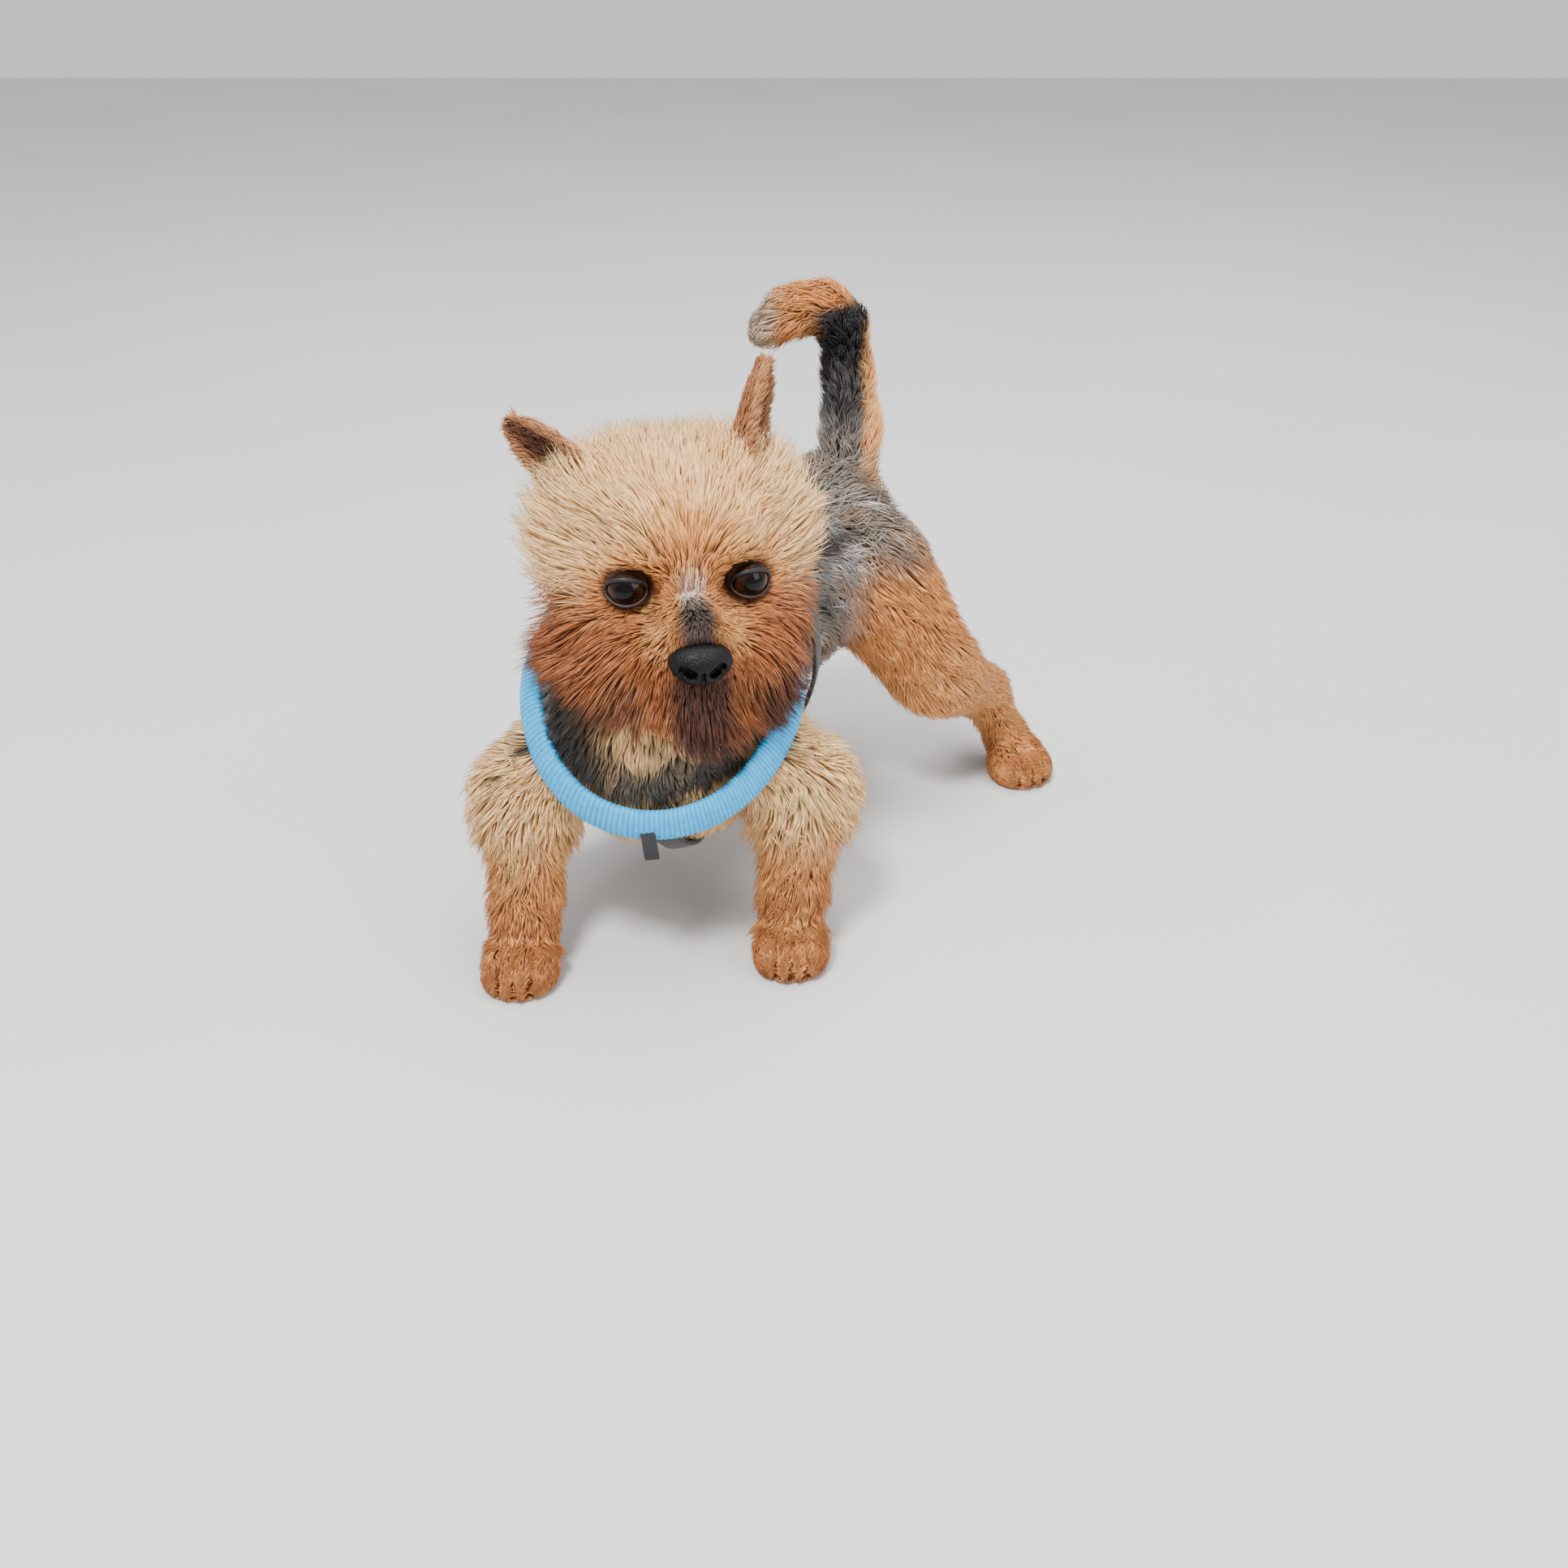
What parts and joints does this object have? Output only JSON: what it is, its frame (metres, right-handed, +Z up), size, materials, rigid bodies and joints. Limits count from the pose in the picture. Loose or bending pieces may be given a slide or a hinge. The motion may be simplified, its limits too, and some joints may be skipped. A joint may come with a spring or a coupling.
{
  "type": "yorkshire terrier",
  "caption": "Life-size still model of a small terrier in a clipped coat, standing low in front with its tail up, in a padded harness.",
  "frame": {"origin": "middle of the model's box, on the floor under the paws", "axes": "+Z up, -Y the way the dog's chest and head face, +X to the dog's left"},
  "size_m": [0.2558, 0.2494, 0.234],
  "materials": {
    "tan_coat": "soft hair, tan to cream",
    "grey_coat": "soft hair, grey and silver with brown tips",
    "dark_coat": "soft hair, near black",
    "eye": "wet gloss",
    "nose": "moist pebbled leather",
    "claw": "satin horn",
    "band_knit": "ribbed matt knit",
    "webbing": "woven webbing",
    "fitting": "moulded, satin"
  },
  "bodies": {
    "root": {"head": "tan_coat", "lower_jaw": "tan_coat", "neck": "dark_coat", "chest": "tan_coat", "loin": "grey_coat", "hips": "grey_coat", "tail_root": "grey_coat", "tail_middle": "dark_coat", "tail_tip": "tan_coat", "foreleg_left_upper": "tan_coat", "foreleg_left_forearm": "tan_coat", "forepaw_left": "tan_coat", "hindleg_left_thigh": "tan_coat", "hindleg_left_shank": "tan_coat", "hindpaw_left": "tan_coat", "ear_left": "tan_coat", "foreleg_right_upper": "tan_coat", "foreleg_right_forearm": "tan_coat", "forepaw_right": "tan_coat", "hindleg_right_thigh": "tan_coat", "hindleg_right_shank": "tan_coat", "hindpaw_right": "tan_coat", "ear_right": "tan_coat", "eye_left": "eye", "eye_right": "eye", "nose": "nose", "harness_collar": "band_knit", "harness_girth": "webbing", "harness_breast_strap": "webbing"}
  },
  "joints": []
}
